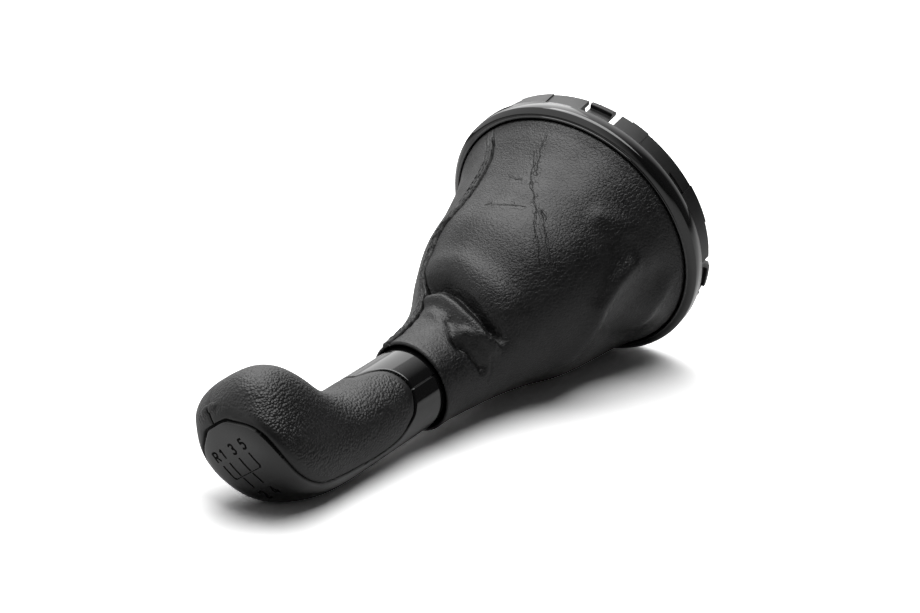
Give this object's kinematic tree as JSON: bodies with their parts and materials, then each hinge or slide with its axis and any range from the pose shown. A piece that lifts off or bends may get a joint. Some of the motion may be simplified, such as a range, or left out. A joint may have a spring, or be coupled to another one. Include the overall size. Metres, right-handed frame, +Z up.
{
  "type": "gear lever gaiter",
  "caption": "Leather gear lever gaiter in a round gloss bezel with its snap-in carrier, joined to a bent soft-grip gear knob, lying on its side.",
  "frame": {"origin": "middle of the footprint, on the table the part lies on", "axes": "+Z up; +Y towards the ring end, so the knob's head is at -Y; +X completes the frame. The ring's axis runs 17.5 degrees below -Y, from the ring towards the knob"},
  "size_m": [0.1358, 0.2656, 0.1323],
  "materials": {
    "gloss_trim": "polished black moulding",
    "matt_plastic": "plain matt black moulding",
    "leather": "thin black leather, fine grain, soft sheen",
    "soft_grip": "soft-touch pebble grain",
    "core_nylon": "plain grey moulding",
    "white_nylon": "natural nylon",
    "spring_steel": "plain spring steel"
  },
  "bodies": {
    "root": {"bezel_ring": "gloss_trim", "carrier_ring": "matt_plastic", "hem_ring": "matt_plastic", "leather_gaiter": "leather", "neck_ring": "matt_plastic", "gaiter_tie": "white_nylon", "neck_clip": "spring_steel", "knob_core": "core_nylon", "lever_bush": "white_nylon", "lever_clamp": "spring_steel", "rear_shell": "gloss_trim", "front_collar_shell": "gloss_trim", "grip_right": "soft_grip", "grip_left": "soft_grip"}
  },
  "joints": []
}
